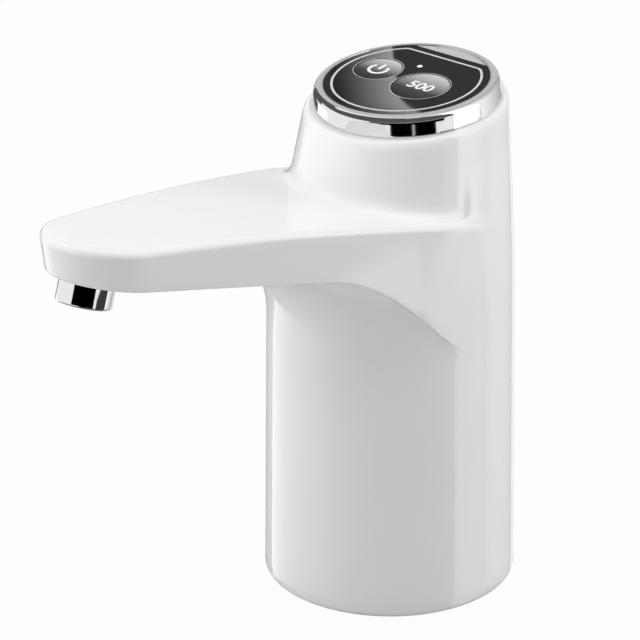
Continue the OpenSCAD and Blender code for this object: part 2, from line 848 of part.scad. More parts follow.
module panel() {
    color("black") seat_frame() translate([0, 0, panel_h - panel_t]) difference() {
        linear_extrude(height = panel_t) panel_plan(panel_r, 0);
        at(power_at, -1) cylinder(h = panel_t + 2, r = power_r);
        at(dose_at, -1) cylinder(h = panel_t + 2, r = dose_r);
        at(led_at, -1) cylinder(h = panel_t + 2, r = pipe_r + pin_gap);
    }
}

module panel_segment() {
    color("silver") seat_frame() translate([0, 0, panel_h - panel_t]) linear_extrude(height = panel_t - 0.2)
        intersection() {
            circle(r = panel_r, $fn = 144);
            translate([-far / 2, chord_y + fit]) square([far, far]);
        }
}

module panel_gasket() {
    color("dimgray") seat_frame() translate([0, 0, ledge_top_h])
        tube(panel_r, ring_bore_r - ledge_w, gasket_h);
}

module button_carrier() {
    color("dimgray") seat_frame() difference() {
        union() {
            translate([0, 0, carrier_h]) cylinder(h = carrier_t, r = ring_bore_r - fit);
            translate([0, 0, carrier_h]) tube(ring_bore_r - fit, ring_bore_r - ledge_w, carrier_top_h - carrier_h);
            for (a = board_post_angles) turned(a, board_post_at, board_top_h) cylinder(h = board_gap + 0.5, r = board_post_r);
        }
        at(power_at, carrier_h - 1) cylinder(h = far, r = stem_r + button_gap);
        at(dose_at, carrier_h - 1) cylinder(h = far, r = stem_r + button_gap);
        at(led_at, carrier_h - 1) cylinder(h = far, r = pipe_r + pin_gap);
        for (a = board_post_angles) turned(a, board_post_at, board_top_h - 1) cylinder(h = 6, r = screw_r);
    }
}

module button(p, r) {
    seat_frame() at(p) {
        translate([0, 0, flange_top_h - flange_t]) cylinder(h = flange_t, r = r + flange_w);
        translate([0, 0, flange_top_h - eps]) cylinder(h = panel_h - flange_top_h + eps, r = r - button_gap);
        translate([0, 0, plunger_top_h]) cylinder(h = flange_top_h - flange_t - plunger_top_h + eps, r = stem_r);
    }
}

module power_button() {
    color("black") button(power_at, power_r);
}

module dose_button() {
    color("black") button(dose_at, dose_r);
}

module plunger(p) {
    seat_frame() at(p, plunger_top_h - plunger_len) cylinder(h = plunger_len, r = plunger_r);
}

module power_plunger() {
    color("red") plunger(power_at);
}

module dose_plunger() {
    color("red") plunger(dose_at);
}

module switch_body(p) {
    seat_frame() at(p, board_top_h) difference() {
        translate([-switch_w / 2, -switch_w / 2, 0]) cube([switch_w, switch_w, switch_h]);
        translate([0, 0, switch_h + plunger_over - plunger_len - button_travel - button_gap]) cylinder(h = far, r = plunger_r + button_gap);
    }
}

module power_switch() {
    color("dimgray") switch_body(power_at);
}

module dose_switch() {
    color("dimgray") switch_body(dose_at);
}

module control_board() {
    color("darkgreen") seat_frame() difference() {
        translate([0, 0, board_top_h - board_t]) cylinder(h = board_t, r = board_r);
        for (a = board_post_angles) turned(a, board_post_at, board_top_h - board_t - 1) cylinder(h = 5, r = screw_r + fit);
    }
}

module board_screws() {
    color("silver") seat_frame() for (a = board_post_angles) turned(a, board_post_at, board_top_h - board_t) screw(board_screw_len);
}

module status_led() {
    color("white") seat_frame() at(led_at, board_top_h) translate([-1.6, -0.8, 0]) cube([3.2, 1.6, 1.2]);
}

module light_pipe() {
    color("aliceblue") seat_frame() at(led_at, board_top_h + 1.2)
        cylinder(h = panel_h - board_top_h - 1.2, r = pipe_r);
}

body_shell();
arm_cover();
arm_screws();
bottle_collar();
collar_screws();
neck_gasket();
intake_barb();
intake_tube();
pump_body();
pump_cover();
pump_screws();
drive_gear();
idler_gear();
idler_pin();
shaft_seal();
chassis();
chassis_screws();
motor_can();
motor_magnets();
motor_end_cap();
motor_shaft();
armature();
motor_screws();
outlet_tube();
battery_cell();
battery_cradle();
charge_board();
charge_socket();
top_ring();
panel();
panel_segment();
panel_gasket();
button_carrier();
power_button();
dose_button();
power_plunger();
dose_plunger();
power_switch();
dose_switch();
control_board();
board_screws();
status_led();
light_pipe();
nozzle();
nozzle_elbow();
nozzle_nut();
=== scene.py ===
import json
import math

import bpy
from mathutils import Matrix, Vector


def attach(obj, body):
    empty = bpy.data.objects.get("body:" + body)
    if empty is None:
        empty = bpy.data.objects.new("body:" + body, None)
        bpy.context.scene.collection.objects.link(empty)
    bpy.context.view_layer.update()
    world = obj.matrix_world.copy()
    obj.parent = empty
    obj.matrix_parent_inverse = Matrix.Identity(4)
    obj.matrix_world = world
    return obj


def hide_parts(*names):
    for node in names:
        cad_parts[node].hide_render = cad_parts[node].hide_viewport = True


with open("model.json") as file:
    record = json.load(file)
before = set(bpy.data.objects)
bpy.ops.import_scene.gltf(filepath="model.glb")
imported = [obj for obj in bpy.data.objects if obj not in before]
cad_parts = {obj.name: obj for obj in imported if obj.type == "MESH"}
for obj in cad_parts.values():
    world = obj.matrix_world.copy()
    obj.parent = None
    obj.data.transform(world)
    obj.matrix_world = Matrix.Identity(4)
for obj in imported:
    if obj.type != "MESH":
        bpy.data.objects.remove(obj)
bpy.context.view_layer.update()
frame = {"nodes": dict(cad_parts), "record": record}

mm = 0.001
nodes = frame["nodes"]
print("frame loaded:", len(nodes), "nodes")


# way out from the object: azimuth round from the arm's side and elevation, in degrees
def towards(azimuth, elevation):
    az = math.radians(azimuth)
    el = math.radians(elevation)
    return Vector((math.sin(az) * math.cos(el), -math.cos(az) * math.cos(el), math.sin(el)))


# camera, set by the edges of body, arm and bezel
view = dict(azimuth=42.0, elevation=23.67, roll=-0.24, distance=1039.35, lens=205.15, sensor=36.0,
            aimSide=-19.98, aimHeight=76.84)


def makeCamera(v):
    roll = math.radians(v["roll"])
    side = towards(v["azimuth"] + 90, 0)
    back = towards(v["azimuth"], v["elevation"])
    up = back.cross(side)
    aim = side * v["aimSide"] + Vector((0, 0, v["aimHeight"]))
    right = side * math.cos(roll) + up * math.sin(roll)
    top = up * math.cos(roll) - side * math.sin(roll)
    bpy.ops.object.camera_add()
    cam = bpy.context.object
    cam.name = "camera"
    cam.data.lens = v["lens"]
    cam.data.sensor_width = v["sensor"]
    turn = Matrix((right, top, back)).transposed().to_4x4()
    cam.matrix_world = Matrix.Translation((aim + back * v["distance"]) * mm) @ turn
    bpy.context.scene.camera = cam


makeCamera(view)
bpy.context.scene.view_settings.view_transform = "Standard"
print("camera set")


# selection and mesh helpers

def startFresh():
    if bpy.context.object and bpy.context.object.mode != "OBJECT":
        bpy.ops.object.mode_set(mode="OBJECT")
    bpy.ops.object.select_all(action="DESELECT")


def pickOnly(obj):
    startFresh()
    obj.select_set(True)
    bpy.context.view_layer.objects.active = obj


def editAll(obj):
    pickOnly(obj)
    bpy.ops.object.mode_set(mode="EDIT")
    bpy.ops.mesh.select_all(action="SELECT")


def cleanMesh(obj, gap=2e-6):
    editAll(obj)
    bpy.ops.mesh.remove_doubles(threshold=gap)
    bpy.ops.mesh.select_all(action="SELECT")
    bpy.ops.mesh.normals_make_consistent(inside=False)
    bpy.ops.object.mode_set(mode="OBJECT")


def applyModifier(obj, kind, **values):
    pickOnly(obj)
    mod = obj.modifiers.new(kind.lower(), kind)
    for key, value in values.items():
        setattr(mod, key, value)
    bpy.ops.object.modifier_apply(modifier=mod.name)


def smoothShade(obj, degrees=35):
    pickOnly(obj)
    bpy.ops.object.shade_smooth_by_angle(angle=math.radians(degrees))


def placeMesh(obj, place):
    obj.data.transform(place)
    obj.data.update()


def seatPiece(obj, name, body, slot, material, *replaced):
    obj.name = name
    obj.data.name = name
    obj.data.materials.clear()
    obj.data.materials.append(material)
    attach(obj, body)
    if replaced:
        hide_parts(*replaced)


# corners (x, y, radius) to a closed loop with arcs
def roundedLoop(corners, arcSteps=6):
    loop = []
    for i, (x, y, radius) in enumerate(corners):
        here = Vector((x, y))
        if radius == 0:
            loop.append(here)
            continue
        toBack = (Vector(corners[i - 1][:2]) - here).normalized()
        toAhead = (Vector(corners[(i + 1) % len(corners)][:2]) - here).normalized()
        half = toBack.angle(toAhead) / 2
        centre = here + (toBack + toAhead).normalized() * (radius / math.sin(half))
        start = here + toBack * (radius / math.tan(half)) - centre
        end = here + toAhead * (radius / math.tan(half)) - centre
        first = math.atan2(start.y, start.x)
        sweep = math.atan2(end.y, end.x) - first
        sweep = (sweep + math.pi) % math.tau - math.pi
        for k in range(arcSteps + 1):
            angle = first + sweep * k / arcSteps
            loop.append(centre + Vector((math.cos(angle), math.sin(angle))) * radius)
    return loop


# a closed profile of (radius, height) turned once round the upright axis
def spunPiece(profile, steps=128):
    startFresh()
    bpy.ops.mesh.primitive_circle_add(vertices=len(profile), radius=mm)
    obj = bpy.context.object
    for vert, (radius, height) in zip(obj.data.vertices, profile):
        vert.co = (radius * mm, 0, height * mm)
    editAll(obj)
    bpy.ops.mesh.spin(steps=steps, angle=math.tau, center=(0, 0, 0), axis=(0, 0, 1))
    bpy.ops.object.mode_set(mode="OBJECT")
    cleanMesh(obj)
    return obj


# a flat closed outline, left selected in edit mode
def flatLoop(loop, low):
    startFresh()
    bpy.ops.mesh.primitive_circle_add(vertices=len(loop), radius=mm, fill_type="NGON")
    obj = bpy.context.object
    for vert, point in zip(obj.data.vertices, loop):
        vert.co = (point[0] * mm, point[1] * mm, low * mm)
    editAll(obj)
    return obj


def raiseLoop(obj, thickness):
    bpy.ops.mesh.extrude_region_move(TRANSFORM_OT_translate={"value": (0, 0, thickness * mm)})
    bpy.ops.object.mode_set(mode="OBJECT")
    cleanMesh(obj)
    return obj


# a closed outline raised to a plate
def plateFrom(loop, thickness, low=0.0):
    return raiseLoop(flatLoop(loop, low), thickness)


# a closed outline drawn as a raised line of one width
def lineFrom(loop, width, low, thickness):
    obj = flatLoop(loop, low)
    bpy.ops.mesh.inset(thickness=width * mm, use_even_offset=True)
    bpy.ops.mesh.delete(type="ONLY_FACE")
    bpy.ops.mesh.select_all(action="SELECT")
    return raiseLoop(obj, thickness)


# cuts a closed solid out of a piece and drops the solid
def cutWith(obj, cutter):
    applyModifier(obj, "BOOLEAN", operation="DIFFERENCE", solver="EXACT", object=cutter)
    bpy.data.objects.remove(cutter)


# finishes: colour drift, gloss drift and a fine surface

def finish(name, colour, drift=0.03, rough=(0.3, 0.36), scale=60.0, bump=0.02, fine=900.0, **sockets):
    mat = bpy.data.materials.new(name)
    mat.use_nodes = True
    tree = mat.node_tree
    shader = tree.nodes["Principled BSDF"]
    for socket, value in sockets.items():
        shader.inputs[socket.replace("_", " ")].default_value = value
    coords = tree.nodes.new("ShaderNodeTexCoord")
    cloud = tree.nodes.new("ShaderNodeTexNoise")
    cloud.inputs["Scale"].default_value = scale
    cloud.inputs["Detail"].default_value = 3
    ramp = tree.nodes.new("ShaderNodeValToRGB")
    ramp.color_ramp.elements[0].position = 0.35
    ramp.color_ramp.elements[1].position = 0.65
    ramp.color_ramp.elements[0].color = tuple(c * (1 - drift) for c in colour) + (1,)
    ramp.color_ramp.elements[1].color = tuple(min(1, c * (1 + drift)) for c in colour) + (1,)
    gloss = tree.nodes.new("ShaderNodeMapRange")
    gloss.inputs["To Min"].default_value = rough[0]
    gloss.inputs["To Max"].default_value = rough[1]
    grain = tree.nodes.new("ShaderNodeTexNoise")
    grain.inputs["Scale"].default_value = fine
    relief = tree.nodes.new("ShaderNodeBump")
    relief.inputs["Strength"].default_value = bump
    relief.inputs["Distance"].default_value = 0.0002
    link = tree.links.new
    link(coords.outputs["Object"], cloud.inputs["Vector"])
    link(coords.outputs["Object"], grain.inputs["Vector"])
    link(cloud.outputs["Fac"], ramp.inputs["Fac"])
    link(ramp.outputs["Color"], shader.inputs["Base Color"])
    link(cloud.outputs["Fac"], gloss.inputs["Value"])
    link(gloss.outputs["Result"], shader.inputs["Roughness"])
    link(grain.outputs["Fac"], relief.inputs["Height"])
    link(relief.outputs["Normal"], shader.inputs["Normal"])
    return mat


whiteGloss = finish("whiteGloss", (0.80, 0.80, 0.80), drift=0.006, rough=(0.05, 0.09), scale=35, bump=0.003)
chromePlate = finish("chromePlate", (0.80, 0.80, 0.81), drift=0.01, rough=(0.05, 0.09), scale=80, bump=0.004,
                     Metallic=1.0)
blackGloss = finish("blackGloss", (0.020, 0.020, 0.021), drift=0.1, rough=(0.02, 0.035), scale=50, bump=0.0)
satinMetal = finish("satinMetal", (0.50, 0.50, 0.505), drift=0.04, rough=(0.42, 0.52), scale=300, bump=0.05,
                    Metallic=0.15)
# silver print for the panel line, also the painted highlight ring round each button
silverPrintAndHighlight = finish("silverPrintAndHighlight", (0.58, 0.58, 0.585), drift=0.03, rough=(0.35, 0.45), scale=400, bump=0.01)
printWhite = finish("printWhite", (0.86, 0.86, 0.86), drift=0.02, rough=(0.3, 0.4), scale=400, bump=0.01)
lensWhite = finish("lensWhite", (0.90, 0.91, 0.92), drift=0.02, rough=(0.15, 0.25), scale=300, bump=0.01)
print("finishes ready")


# housing skin: the same body, arm and head as the solids, with moulded edges
shell = dict(lowR=36.3, topR=34.2, topZ=159.3, planR=34.89, mouthR=32.85, rimBevel=1.6,
             reach=129.0, noseR=18.0, rootZ=115.75, tipZ=140.3, crown=2.1,
             underRootZ=100.3, underTipZ=129.9, underFillet=25.0, underEdge=0.6, topEdge=2.0,
             footY=2.35, footZ=101.0, footR=33.5, headY=7.45, headR=28.3, flushR=34.86,
             seatY=7.045, seatZ=142.9, seatR=25.9, tilt=5.9, wall=1.2,
             headFillet=4.0, headFoot=1.2, lipDrop=0.8, shoulderIn=1.5, shoulderDown=3.0,
             draft=6.0, draftGap=5.0, slack=6.0, slackGap=0.5, edgeShare=0.3, edgeLeast=0.15,
             shelfShare=0.45, flushFrom=2.3, flushTo=5.2, flushLow=5, flushHigh=6,
             noseSteps=20, wallSteps=46, backSteps=34, noseSpan=22.0, crowding=1.6)
# rows of the skin from the rim up: bend or run
rows = dict(rim=4, body=22, under=22, edge=5, wall=8, brow=7, ledge=22, foot=7, head=14, lip=8)
seatPlace = (Matrix.Translation(Vector((0, shell["seatY"], shell["seatZ"])) * mm)
             @ Matrix.Rotation(math.radians(shell["tilt"]), 4, "X"))


def bodyRadius(z):
    return shell["lowR"] + (shell["topR"] - shell["lowR"]) * z / shell["topZ"]


def crownZ(u):
    run = shell["reach"]
    rise = shell["tipZ"] - shell["rootZ"]
    chord = math.hypot(run, rise)
    radius = chord * chord / (8 * shell["crown"]) + shell["crown"] / 2
    deep = radius - shell["crown"]
    midU = run / 2 + deep * rise / chord
    midZ = (shell["rootZ"] + shell["tipZ"]) / 2 - deep * run / chord
    return midZ + math.sqrt(radius * radius - (u - midU) ** 2)


def underZ(u):
    return shell["underRootZ"] + u * (shell["underTipZ"] - shell["underRootZ"]) / shell["reach"]


# half outline of the plan: (point, direction of its normal, angle on the body, share of the body's taper)
def halfPlan():
    noseU = shell["reach"] - shell["noseR"]
    turn = math.pi / 2 - math.asin((shell["planR"] - shell["noseR"]) / noseU)
    noseSpan = math.radians(shell["noseSpan"])
    outward = Vector((math.sin(turn), -math.cos(turn)))
    wallNose = Vector((0, -noseU)) + outward * shell["noseR"]
    wallBody = outward * shell["planR"]
    half = []
    for k in range(shell["noseSteps"]):
        t = k / shell["noseSteps"]
        normal = Vector((math.sin(turn * t), -math.cos(turn * t)))
        half.append((Vector((0, -noseU)) + normal * shell["noseR"], normal, noseSpan * t, 0.0))
    for k in range(shell["wallSteps"]):
        t = k / shell["wallSteps"]
        angle = noseSpan + (turn - noseSpan) * t ** shell["crowding"]
        half.append((wallNose.lerp(wallBody, t), outward, angle, t * t))
    for k in range(shell["backSteps"] + 1):
        angle = turn + (math.pi - turn) * k / shell["backSteps"]
        normal = Vector((math.sin(angle), -math.cos(angle)))
        half.append((normal * shell["planR"], normal, angle, 1.0))
    return half


def headLine(angle):
    along = shell["headY"] - shell["footY"]
    up = shell["seatZ"] - shell["footZ"]
    lean = Matrix.Rotation(-math.atan2(along, up), 3, "X")
    length = math.hypot(along, up)
    foot = Vector((0, shell["footY"], shell["footZ"]))
    spoke = Vector((math.sin(angle), -math.cos(angle), 0))
    low = foot + lean @ (spoke * shell["footR"])
    high = foot + lean @ (spoke * shell["headR"] + Vector((0, 0, length)))
    for end in (low, high):
        inward = min(1.0, shell["flushR"] / end.xy.length)
        end.x *= inward
        end.y *= inward
    return low, high


# share of the way from low to high at which the height turns positive
def crossing(low, high, height):
    a = -0.4
    b = 1.4
    for _ in range(40):
        t = (a + b) / 2
        if height(low.lerp(high, t)) < 0:
            a = t
        else:
            b = t
    return (a + b) / 2


def bezier(a, b, c, t):
    return a.lerp(b, t).lerp(b.lerp(c, t), t)


# one line of the skin, from the bottom rim up to the bezel's seat
def skinLine(point, normal, angle, taper):
    s = shell
    spoke = Vector((math.sin(angle), -math.cos(angle)))
    line = []

    def put(plan, z):
        line.append(Vector((plan.x, plan.y, z)))

    put(spoke * s["mouthR"], 0)
    put(spoke * (s["lowR"] - s["rimBevel"]), 0)
    for k in range(1, rows["rim"] + 1):
        a = math.pi / 2 * k / rows["rim"]
        put(spoke * (s["lowR"] - s["rimBevel"] * (1 - math.sin(a))), s["rimBevel"] * (1 - math.cos(a)))
    gap = max(0.0, point.length - s["planR"])
    edge = min(s["underEdge"], s["edgeShare"] * gap)
    topZ = crownZ(-point.y)
    draft = math.tan(math.radians(s["draft"])) * (1 - taper) * min(1.0, gap / s["draftGap"])
    inner = point - normal * (edge + draft * (topZ - underZ(-point.y)))
    deep = s["underFillet"]

    def fillet(plan):
        out = max(0.0, plan.length - s["planR"])
        return deep - math.sqrt(deep * deep - (deep - out) ** 2) if out < deep else 0.0

    start = spoke * s["planR"]
    slack = s["slack"] * math.exp(-gap / s["slackGap"])
    startZ = underZ(-start.y) - deep - slack
    for k in range(1, rows["body"] + 1):
        z = s["rimBevel"] + (startZ - s["rimBevel"]) * k / rows["body"]
        put(spoke * bodyRadius(z), z)
    for k in range(1, rows["under"] + 1):
        t = (k / rows["under"]) ** s["crowding"]
        plan = start.lerp(inner, t)
        z = underZ(-plan.y) - fillet(plan) - slack * (1 - k / rows["under"])
        grown = bodyRadius(z) - s["planR"]
        put(plan + spoke * grown * (1 - t) + normal * grown * taper * t, z)
    edgeZ = underZ(-inner.y) - fillet(inner)
    lift = max(edge, s["edgeLeast"])

    def wallPoint(z, inset):
        return point + normal * ((bodyRadius(z) - s["planR"]) * taper - inset - draft * max(0.0, topZ - z))

    for k in range(1, rows["edge"] + 1):
        a = math.pi / 2 * k / rows["edge"]
        z = edgeZ + lift * (1 - math.cos(a))
        put(wallPoint(z, edge * (1 - math.sin(a))), z)
    low, high = headLine(angle)
    base = low.lerp(high, crossing(low, high, lambda p: p.z - crownZ(-p.y)))
    shelf = point.length - base.xy.length
    rim = min(s["topEdge"], s["shelfShare"] * shelf)
    brow = point - normal * rim
    browZ = crownZ(-brow.y)
    fromZ = line[-1].z
    for k in range(1, rows["wall"] + 1):
        z = fromZ + (browZ - rim - fromZ) * k / rows["wall"]
        put(wallPoint(z, 0), z)
    wallRow = len(line) - s["flushLow"]
    for k in range(1, rows["brow"] + 1):
        a = math.pi / 2 * k / rows["brow"]
        z = browZ - rim * (1 - math.sin(a))
        put(wallPoint(z, rim * (1 - math.cos(a))), z)
    brow = line[-1].xy
    blend = min(s["headFillet"], s["shelfShare"] * shelf)
    apron = base.xy + (brow - base.xy).normalized() * blend
    for k in range(1, rows["ledge"] + 1):
        plan = brow.lerp(apron, k / rows["ledge"])
        put(plan, crownZ(-plan.y))
    rise = (high - low).normalized()
    climb = base + rise * max(blend, s["headFoot"])
    landing = line[-1].copy()
    for k in range(1, rows["foot"] + 1):
        line.append(bezier(landing, base, climb, k / rows["foot"]))
    seatNormal = Vector((0, -math.sin(math.radians(s["tilt"])), math.cos(math.radians(s["tilt"]))))
    seatMid = Vector((0, s["seatY"], s["seatZ"])) - seatNormal * s["lipDrop"]
    crest = low.lerp(high, crossing(low, high, lambda p: (p - seatMid).dot(seatNormal)))
    belt = crest - rise * s["shoulderDown"]
    for k in range(1, rows["head"] + 1):
        line.append(climb.lerp(belt, k / rows["head"]))
    # the ledge turns into a plain sweep where it is narrow
    calm = min(1.0, max(0.0, (shelf - s["flushFrom"]) / (s["flushTo"] - s["flushFrom"])))
    calm = calm * calm * (3 - 2 * calm)
    headRow = len(line) - s["flushHigh"]
    wallEnd = line[wallRow].copy()
    headEnd = line[headRow].copy()
    knee = Vector((*((point + base.xy) / 2), base.z))
    run = [0.0]
    for j in range(wallRow, headRow):
        run.append(run[-1] + (line[j + 1] - line[j]).length)
    for j in range(wallRow + 1, headRow):
        soft = bezier(wallEnd, knee, headEnd, run[j - wallRow] / run[-1])
        line[j] = soft.lerp(line[j], calm)
    inward = (seatMid - crest).normalized()
    lip = crest + inward * s["shoulderIn"]
    for k in range(1, rows["lip"] + 1):
        line.append(bezier(belt, crest, lip, k / rows["lip"]))
    line.append(seatMid - inward * s["seatR"])
    return line


def makeHousing():
    half = halfPlan()
    lines = [skinLine(*part) for part in half]
    mirrored = [[Vector((-p.x, p.y, p.z)) for p in line] for line in reversed(lines[1:-1])]
    lines = lines + mirrored
    columns = len(lines)
    startFresh()
    bpy.ops.mesh.primitive_grid_add(x_subdivisions=columns, y_subdivisions=len(lines[0]) - 1, size=0.1)
    obj = bpy.context.object
    across = columns + 1
    for i, vert in enumerate(obj.data.vertices):
        vert.co = lines[i % across % columns][i // across] * mm
    cleanMesh(obj)
    applyModifier(obj, "SOLIDIFY", thickness=shell["wall"] * mm, offset=-1, use_even_offset=False)
    return obj


# openings of the skin: the arm's cover, the nozzle and the charging slot
opening = dict(coverFrom=61.0, coverTo=103.0, coverInset=3.4, wallR=34.85, coverDeep=8.0,
               nozzleR=7.6, nozzleU=118.7, nozzleZ=128.14, nozzleLean=18.0, nozzleDeep=12.0,
               slotWide=9.6, slotHigh=3.9, slotZ=36.0, slotY=35.0, slotRound=1.911, slotDeep=12.0)
underSlope = math.atan((shell["underTipZ"] - shell["underRootZ"]) / shell["reach"])
underPlace = Matrix.Translation((0, 0, shell["underRootZ"] * mm)) @ Matrix.Rotation(-underSlope, 4, "X")
nozzlePlace = (Matrix.Translation(Vector((0, -opening["nozzleU"], opening["nozzleZ"])) * mm)
               @ Matrix.Rotation(-math.radians(opening["nozzleLean"]), 4, "X"))


def cutHousing(obj):
    o = opening
    noseU = shell["reach"] - shell["noseR"]
    narrow = math.asin((o["wallR"] - shell["noseR"]) / noseU)
    corners = []
    for side, u in ((1, o["coverFrom"]), (1, o["coverTo"]), (-1, o["coverTo"]), (-1, o["coverFrom"])):
        half = (o["wallR"] - o["coverInset"] - u * math.sin(narrow)) / math.cos(narrow)
        corners.append((side * half, -u / math.cos(underSlope)))
    cover = plateFrom(corners, o["coverDeep"], -o["coverDeep"] / 2)
    placeMesh(cover, underPlace)
    cutWith(obj, cover)
    startFresh()
    bpy.ops.mesh.primitive_cylinder_add(vertices=96, radius=o["nozzleR"] * mm, depth=o["nozzleDeep"] * mm)
    hole = bpy.context.object
    placeMesh(hole, nozzlePlace)
    cutWith(obj, hole)
    wide = o["slotWide"] / 2
    high = o["slotHigh"] / 2
    ends = ((wide, high), (-wide, high), (-wide, -high), (wide, -high))
    loop = roundedLoop([(x, y, o["slotRound"]) for x, y in ends])
    slot = plateFrom(loop, o["slotDeep"], -o["slotDeep"] / 2)
    placeMesh(slot, Matrix.Translation(Vector((0, o["slotY"], o["slotZ"])) * mm)
              @ Matrix.Rotation(math.radians(90), 4, "X"))
    cutWith(obj, slot)
    smoothShade(obj, 40)


housingSkin = makeHousing()
cutHousing(housingSkin)
print("housing skin:", len(housingSkin.data.polygons), "faces")
seatPiece(housingSkin, "housing_skin", "housing", "white_plastic", whiteGloss, "body_shell")


# chrome bezel: a flat inner band, a rounded shoulder and a leaning outer wall
bezel = [(23.30, 2.7), (23.30, 4.92), (23.36, 5.04), (23.50, 5.10), (23.70, 5.08), (24.60, 4.86),
         (24.95, 4.76), (25.28, 4.58), (25.58, 4.34), (25.83, 4.04), (26.01, 3.70), (26.12, 3.34),
         (26.18, 2.95), (26.30, 2.10), (26.42, 1.20), (26.54, 0.30), (26.64, -0.50), (26.62, -0.68),
         (26.46, -0.78), (25.60, -0.78),
         (25.60, -3.0), (24.30, -3.0), (24.30, 0.0), (23.30, 0.0), (23.30, 1.7), (21.40, 1.7), (21.40, 2.7)]
bezelPiece = spunPiece(bezel, 192)
placeMesh(bezelPiece, seatPlace)
smoothShade(bezelPiece, 32)
seatPiece(bezelPiece, "bezel", "housing", "chrome", chromePlate, "top_ring")

# chrome nozzle with a rolled lip
nozzleRing = [(6.30, 4.2), (7.50, 4.2), (7.50, -6.85), (7.46, -7.10), (7.34, -7.32), (7.15, -7.46),
              (6.90, -7.50), (6.62, -7.46), (6.42, -7.32), (6.30, -7.05)]
nozzlePiece = spunPiece(nozzleRing, 128)
placeMesh(nozzlePiece, nozzlePlace)
smoothShade(nozzlePiece, 32)
seatPiece(nozzlePiece, "nozzle_sleeve", "housing", "chrome", chromePlate, "nozzle")
print("chrome turned")


# buttons: dished caps on a flange and a stem, heights from the bezel's seat
buttons = dict(
    power=dict(at=(-11.3, 1.1), r=6.8, body="power_button"),
    dose=dict(at=(6.4, -1.5), r=8.2, body="dose_button"))
panelTop = 5.0


# painted reflection: each cap's colour runs from near black to mid grey across the panel's Y, a reflection
# gradient painted into the cap
def paintedReflectionCap(name, at, r):
    mat = finish(name, (0.3, 0.3, 0.3), drift=0.0, rough=(0.34, 0.42), scale=200, bump=0.01,
                 Specular_IOR_Level=0.15)
    tree = mat.node_tree
    coords = tree.nodes["Texture Coordinate"]
    ramp = tree.nodes["Color Ramp"]
    centre = seatPlace @ Vector((at[0] * mm, at[1] * mm, panelTop * mm))
    shift = tree.nodes.new("ShaderNodeMapping")
    shift.inputs["Location"].default_value = -centre
    split = tree.nodes.new("ShaderNodeSeparateXYZ")
    spread = tree.nodes.new("ShaderNodeMapRange")
    spread.inputs["From Min"].default_value = -r * mm
    spread.inputs["From Max"].default_value = r * mm
    tree.links.new(coords.outputs["Object"], shift.inputs["Vector"])
    tree.links.new(shift.outputs["Vector"], split.inputs["Vector"])
    tree.links.new(split.outputs["Y"], spread.inputs["Value"])
    tree.links.new(spread.outputs["Result"], ramp.inputs["Fac"])
    # greys of the painted reflection, darkest at one edge of the cap and lightest at the other
    steps = ((0.0, 0.008), (0.35, 0.04), (0.62, 0.24), (1.0, 0.56))
    ramp.color_ramp.elements[0].position = steps[0][0]
    ramp.color_ramp.elements[1].position = steps[-1][0]
    for step in steps[1:-1]:
        ramp.color_ramp.elements.new(step[0])
    for element, (_, grey) in zip(ramp.color_ramp.elements, steps):
        element.color = (grey, grey, grey, 1)
    return mat


# dished top with its rim, then the wall, the flange and the stem
def capProfile(r):
    top = [(0, 4.80), (r * 0.4, 4.83), (r * 0.75, 4.91), (r - 0.55, 4.98), (r - 0.25, 4.98), (r - 0.07, 4.90)]
    wall = [(r, 4.74), (r, 2.90), (r + 1.0, 2.90), (r + 1.0, 1.90)]
    stem = [(1.6, 1.90), (1.6, -2.1), (0, -2.1)]
    return top + wall + stem


for buttonName, spec in buttons.items():
    r = spec["r"]
    cap = spunPiece(capProfile(r), 96)
    place = seatPlace @ Matrix.Translation(Vector((spec["at"][0], spec["at"][1], 0)) * mm)
    placeMesh(cap, place)
    smoothShade(cap, 35)
    seatPiece(cap, buttonName + "_cap", spec["body"], "black_gloss",
              paintedReflectionCap(buttonName + "Shade", spec["at"], r), spec["body"])
    # painted highlight: a thin flat silver ring on the panel round each cap stands in for the highlight along
    # the cap's groove
    paintedRimHighlight = spunPiece([(r + 0.26, 5.0), (r + 0.42, 5.0), (r + 0.42, 5.03), (r + 0.26, 5.03)], 96)
    placeMesh(paintedRimHighlight, place)
    seatPiece(paintedRimHighlight, buttonName + "_painted_rim_highlight", "housing", "satin_metal", silverPrintAndHighlight)


# power mark: an open ring and a bar
mark = dict(inner=2.3, outer=3.2, low=4.78, high=4.90, opening=96.0,
            barLong=3.3, barWide=0.85, barRound=0.2)


def makeMark():
    m = mark
    startFresh()
    bpy.ops.mesh.primitive_circle_add(vertices=4, radius=mm)
    ring = bpy.context.object
    corners = ((m["inner"], m["low"]), (m["outer"], m["low"]),
               (m["outer"], m["high"]), (m["inner"], m["high"]))
    begin = math.radians(90 - m["opening"] / 2)
    for vert, (radius, height) in zip(ring.data.vertices, corners):
        vert.co = (radius * math.cos(begin) * mm, radius * math.sin(begin) * mm, height * mm)
    editAll(ring)
    bpy.ops.mesh.spin(steps=48, angle=math.radians(360 - m["opening"]), center=(0, 0, 0), axis=(0, 0, 1))
    bpy.ops.mesh.select_all(action="SELECT")
    bpy.ops.mesh.fill_holes(sides=4)
    bpy.ops.object.mode_set(mode="OBJECT")
    side = m["barWide"] / 2
    ends = ((side, 0), (side, m["barLong"]), (-side, m["barLong"]), (-side, 0))
    loop = roundedLoop([(x, y, m["barRound"]) for x, y in ends])
    bar = plateFrom(loop, m["high"] - m["low"], m["low"])
    startFresh()
    ring.select_set(True)
    bar.select_set(True)
    bpy.context.view_layer.objects.active = ring
    bpy.ops.object.join()
    cleanMesh(ring)
    return ring


markPiece = makeMark()
placeMesh(markPiece, seatPlace @ Matrix.Translation(Vector((*buttons["power"]["at"], 0)) * mm))
seatPiece(markPiece, "power_mark", "power_button", "white_parts", printWhite)

